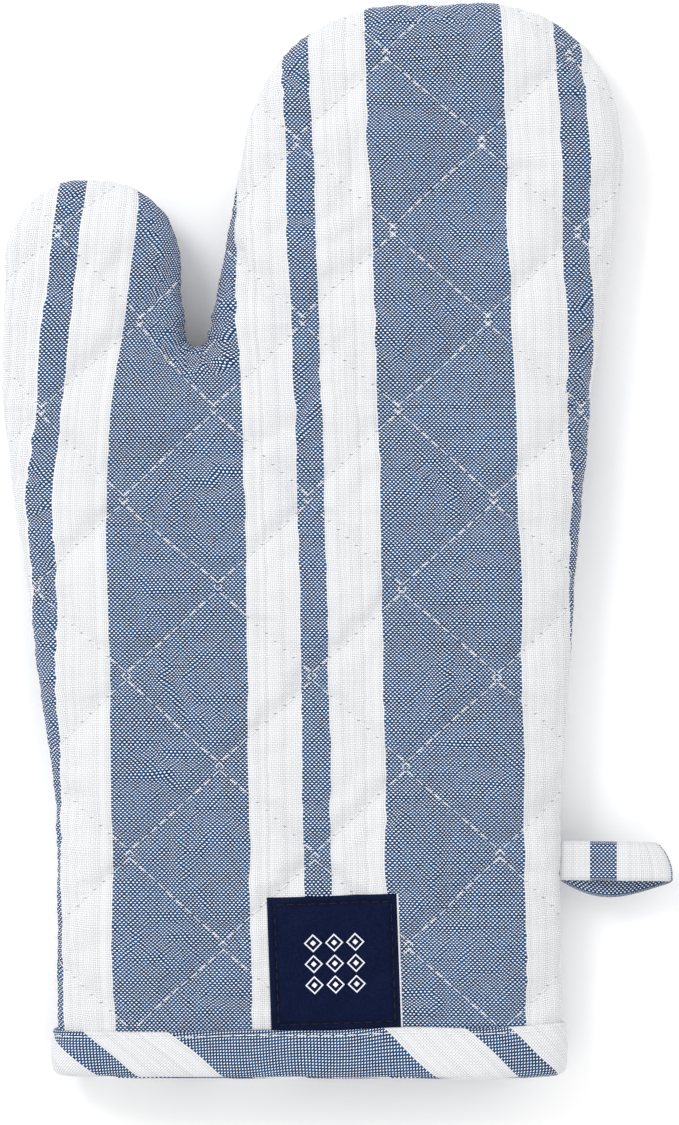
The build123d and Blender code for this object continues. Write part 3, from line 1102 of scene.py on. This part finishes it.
def quilting_marks(u, v):
    """Distance to the nearest quilting line, in nodes: the same zigzags as zigzag_u."""
    phase = (v - QUILT_START[1]) / QUILT_ROW
    triangle = abs(phase % 2.0 - 1.0) - 0.5
    soft = 0.5 + triangle * 0.985 - (triangle * math.pi).sin() * 0.015
    nearest_column = ((u - QUILT_START[0]) / QUILT_COLUMN).floor()
    away = None
    for step in (-1.0, 0.0, 1.0):
        column = nearest_column + step
        odd = column % 2.0
        share = soft + odd * (1.0 - soft * 2.0)
        line = QUILT_START[0] - QUILT_OVERLAP + column * QUILT_COLUMN + share * ZIGZAG_WIDTH
        found = abs(u - line) / STITCH_PER_V
        away = found if away is None else away.at_most(found)
    return away, (v - QUILT_START[1]) * STITCH_PER_V


def striped_cloth(name, quilted):
    """White weft with a blue and white striped warp, with painted shade in its dips and pinholes; where it
    is quilted, needle holes with painted shade in them.
    """
    shader = Shader(name)
    u, v = shader.cloth_place()
    column, row, fa, fb, warp_on_top = plain_weave(u, v, THREAD_PITCH)
    # the stripe of a warp thread depends on its number alone, so an edge never cuts a thread
    place = ((column + 0.5) * THREAD_PITCH - STRIPE_START) % STRIPE_REPEAT
    narrow = (place > NARROW_STRIPE[0]) * (place < NARROW_STRIPE[1])
    blue = ((place < WIDE_STRIPE) + narrow).at_most(1.0)
    # blue yarn is uneven along its length; white yarn hardly is
    stretch = ((row + shader.random(column, 3.0) * 7.0) / 3.0).floor()
    cloudy = shader.noise(u, v, 45.0, 4.0) * 1.7 - 0.35
    tone = shader.random(column, stretch) * 0.5 + shader.noise(u, v * 0.3, 700.0) * 0.3 + cloudy * 0.2
    blue_yarn = shader.mix(tone, (0.0005, 0.010, 0.042), (0.004, 0.103, 0.32))
    white_yarn = shader.mix(shader.random(column, 9.0), (0.67, 0.68, 0.705), (0.73, 0.735, 0.75))
    weft_tone = shader.random(row, (column / 5.0).floor())
    weft = shader.mix(weft_tone, (0.86, 0.87, 0.88), (0.96, 0.965, 0.97))
    # each float of the weft is a flat oval that laps over the warp threads beside it
    side_a, side_b = abs(fa), abs(fb)
    from_weft = side_a + warp_on_top * (1.0 - side_a * 2.0)
    oval = (from_weft / WEFT_OVAL[0]) ** 2.0 + (side_b / WEFT_OVAL[1]) ** 2.0
    from_warp = side_b + (1.0 - warp_on_top) * (1.0 - side_b * 2.0)
    upright = (side_a / WARP_OVAL[0]) ** 2.0 + (from_warp / WARP_OVAL[1]) ** 2.0
    weft_height = (1.0 - oval).at_least(0.0)
    warp_height = (1.0 - upright).at_least(0.0)
    weft_shows = (weft_height * 3.0).at_most(1.0)
    # painted light and shade: each warp thread is lighter along its crown and darker where it dips under the
    # weft, much more on the blue than on the white
    warp = shader.mix(blue, shader.shade(white_yarn, warp_height * 0.10 + 0.90),
                      shader.shade(blue_yarn, warp_height * 0.75 + 0.45))
    white_weft = shader.mix(blue, shader.shade(weft, 0.86), weft)
    colour = shader.mix(weft_shows, warp, white_weft)
    # painted shade in the pinholes at the corners of the crossings, deeper along some warp threads
    corner = (side_a * 2.0) ** 2.0 * (side_b * 2.0) ** 2.0
    deep = shader.random((column + 0.5).floor(), 4.0) ** 2.0
    colour = shader.shade(colour, 1.0 - corner * (0.35 + deep * 0.85))
    colour = shader.shade(colour, shader.noise(u, v, 55.0, 3.0) * 0.08 + 0.96)
    height = weft_height.at_least(warp_height * 0.8)
    height = height + shader.noise(u, v, 5200.0, 2.0) * 0.3
    if quilted:
        away, along = quilting_marks(u, v)
        close = (1.0 - away / NEEDLE_HOLE).at_least(0.0) ** 0.7
        pulse = ((along + 0.35 * MM) * (math.tau / STITCH_PITCH)).cos() * 0.5 + 0.5
        # needle holes: sunk in the relief, and darkened with painted shade
        hole = close * pulse**24.0
        colour = shader.shade(colour, 1.0 - hole * 0.80)
        height = height - hole * 1.5
    return shader.finish(colour, height, 0.14 * MM, strength=0.35, sheen=0.08)


def lining_cloth(name):
    """A plain undyed cotton, with painted shade where its threads dip."""
    shader = Shader(name)
    u, v = shader.cloth_place()
    column, row, fa, fb, warp_on_top = plain_weave(u, v, LINING_PITCH)
    round_a, round_b = (fa * math.pi).cos(), (fb * math.pi).cos()
    height = round_a * (round_b * 0.35 + 0.65) * warp_on_top
    height = height + round_b * (round_a * 0.35 + 0.65) * (1.0 - warp_on_top)
    tone = shader.random(column, 2.0) * 0.5 + shader.random(row, 5.0) * 0.5
    colour = shader.mix(tone, (0.74, 0.72, 0.66), (0.86, 0.85, 0.80))
    # painted shade: the cloth is darker where its threads dip
    colour = shader.shade(colour, height * 0.3 + 0.7)
    return shader.finish(colour, height, 0.12 * MM, strength=0.4)


def wadding_fibre(name):
    """Matted cotton fibres."""
    shader = Shader(name)
    u, v = shader.cloth_place()
    coarse, fine = shader.noise(u, v, 160.0, 4.0), shader.noise(u * 1.0, v * 3.0, 1500.0, 3.0)
    colour = shader.mix(coarse, (0.78, 0.77, 0.72), (0.92, 0.91, 0.88))
    return shader.finish(colour, coarse + fine, 0.5 * MM, strength=0.8, roughness=0.95, sheen=0.3)


def twisted_thread(name, dark, light):
    """Two-ply sewing thread: fine slanting ridges, with painted shade in the grooves between them."""
    shader = Shader(name)
    x, y, z = shader.position()
    ply = ((x * 0.8 + y * 1.2 + z * 0.9) * (math.tau / (0.32 * MM))).sin()
    tone = ply * 0.5 + 0.5
    # painted shade: the colour is darker in the grooves between the plies and lighter on their ridges
    colour = shader.mix(tone, dark, light)
    return shader.finish(colour, tone, 0.05 * MM, strength=0.5, roughness=0.7, sheen=0.1)


def label_satin(name):
    """Navy satin with fine ribs and a woven motif of small diamonds, and painted shade in its stitch groove.
    """
    shader = Shader(name)
    u, v = shader.cloth_place()
    pinch = Value(shader, shader.node("ShaderNodeAttribute", attribute_name="pinch").outputs["Fac"])
    rib = (v * (math.tau / LABEL_RIB)).sin()
    thread = shader.random((u / (0.3 * MM)).floor(), (v / LABEL_RIB).floor())
    ground = shader.mix(thread, (0.0008, 0.003, 0.020), (0.002, 0.007, 0.036))
    # nine diamonds in three rows, inside the middle of the label
    cell = 6.4 * MM
    span = 1.5 * cell
    inside = abs(u).at_least(abs(v)) < span
    du = abs((u + cell / 2) % cell - cell / 2)
    dv = abs((v + cell / 2) % cell - cell / 2)
    from_centre = du + dv
    ring = abs(from_centre - 2.5 * MM) < 0.28 * MM
    core = from_centre < 0.9 * MM
    motif = (ring + core).at_most(1.0) * inside
    colour = shader.mix(motif, ground, (0.78, 0.80, 0.84))
    edge = u > LABEL_WIDTH / 2 - 0.55 * MM  # the pale raw edge at the right
    colour = shader.mix(edge, colour, (0.80, 0.81, 0.84))
    # painted shade in the groove of the stitch line round the label
    colour = shader.shade(colour, 1.0 - pinch * 0.35)
    return shader.finish(colour, rib * 0.5 + motif, 0.06 * MM, roughness=0.55, sheen=0.02, specular=0.06)


def matte_floor(name):
    """A pale board with a very faint mottle."""
    shader = Shader(name)
    x, y, _ = shader.position()
    mottle = shader.noise(x, y, 30.0)
    colour = shader.mix(mottle, (0.93, 0.93, 0.935), (0.95, 0.95, 0.955))
    return shader.finish(colour, mottle, 0.02 * MM, strength=0.1, roughness=0.8, sheen=0.0)


# ---- studio
def studio():
    """Floor, light from the upper left, and a camera that looks straight down."""
    bm = bmesh.new()
    bmesh.ops.create_grid(bm, x_segments=2, y_segments=2, size=3.0)
    mesh = bpy.data.meshes.new("floor")
    bm.to_mesh(mesh)
    bm.free()
    mesh.materials.append(matte_floor("pale_floor"))
    linked("floor", mesh)

    world = bpy.data.worlds.new("studio")
    world.use_nodes = True
    world.node_tree.nodes["Background"].inputs["Color"].default_value = (1.0, 1.0, 1.0, 1.0)
    world.node_tree.nodes["Background"].inputs["Strength"].default_value = 1.12
    bpy.context.scene.world = world

    lamp = bpy.data.lights.new("key", "AREA")
    lamp.shape = "DISK"
    lamp.size = 0.6
    lamp.energy = 7.5
    key = linked("key", lamp)
    key.location = (-0.75, 0.75, 1.1)
    key.rotation_euler = (-key.location).to_track_quat("-Z", "Y").to_euler()

    camera = bpy.data.cameras.new("camera")
    camera.sensor_fit = "VERTICAL"
    camera.sensor_height = 36.0
    distance = 1.5
    seen_height = 344.3 * MM
    camera.lens = camera.sensor_height * distance / seen_height
    holder = linked("camera", camera)
    holder.location = (0.4 * MM, -6.6 * MM, MID + distance)
    bpy.context.scene.camera = holder
    bpy.context.scene.view_settings.view_transform = "Standard"


# ---- the mitt
WADDING_DEPTHS = (1.3 * MM, 4.3 * MM)  # its outer and inner face, under the cover's middle
LINING_DEPTH = 4.8 * MM


def layer_pieces(cover, inner, cloth, lining, wadding):
    """Cover, wadding and lining of both sides, each in a palm part and a thumb part."""
    folds = {"palm": "finger_fold", "thumb": "thumb_fold"}
    for (side, part), chosen in zone_masks(cover).items():
        faces, used = part_of(cover["faces"], chosen)
        flat = cover["uv"][used]
        piece = new_piece(name_of(side, "cover", part), cover["points"][used], faces, cloth,
                          fabric=flat, normals=cover["normals"][used])
        in_layer(piece, side, "cover", part)
        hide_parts(f"{side}_{folds[part]}")
        cut = plain_area(np.column_stack([flat, np.zeros(len(flat))]), faces)
        sheet_on_wadding(side, part, flat, cut)
    inset, outward = inset_and_normal(inner["rest"][:, :2])
    inset = np.maximum(inset, 0)
    uv = fabric_coordinates(inner["rest"][:, :2], inset, outward)
    across = profile_normal(inset, outward, np.sign(np.round((inner["rest"][:, 2] - MID) / MM, 3)))
    for (side, part), chosen in zone_masks(inner).items():
        faces, used = part_of(inner["faces"], chosen)
        points, normals, flat = inner["points"][used], across[used], uv[used]
        solid, solid_faces = thickened(points, normals, faces, *WADDING_DEPTHS)
        name = name_of(side, "wadding", part)
        piece = new_piece(name, solid, solid_faces, wadding, fabric=np.vstack([flat, flat]))
        in_layer(piece, side, "wadding", part)
        inside = points - normals * LINING_DEPTH
        turned = [face[::-1] for face in faces]
        piece = new_piece(name_of(side, "lining", part), inside, turned, lining, fabric=flat)
        in_layer(piece, side, "lining", part)
        sheet_on_wadding(side, part, flat, plain_area(inside, faces))


def build_mitt():
    quilted_cloth = striped_cloth("quilted_cloth", quilted=True)
    trim_cloth = striped_cloth("trim_cloth", quilted=False)
    white_thread = twisted_thread("white_thread", (0.70, 0.71, 0.73), (0.93, 0.93, 0.93))
    dark_thread = twisted_thread("dark_thread", (0.001, 0.002, 0.010), (0.004, 0.007, 0.028))
    cover, inner = sewn_bag()
    layer_pieces(cover, inner, quilted_cloth, lining_cloth("lining_cloth"), wadding_fibre("wadding"))
    for side in ("front", "back"):
        quilting_threads(cover, side, white_thread)
    binding_pieces(trim_cloth, white_thread)
    label = label_piece(FromAbove(cover["points"], cover["faces"]), label_satin("label_satin"))
    label_threads(label, dark_thread)
    loop_piece(trim_cloth)


studio()
build_mitt()
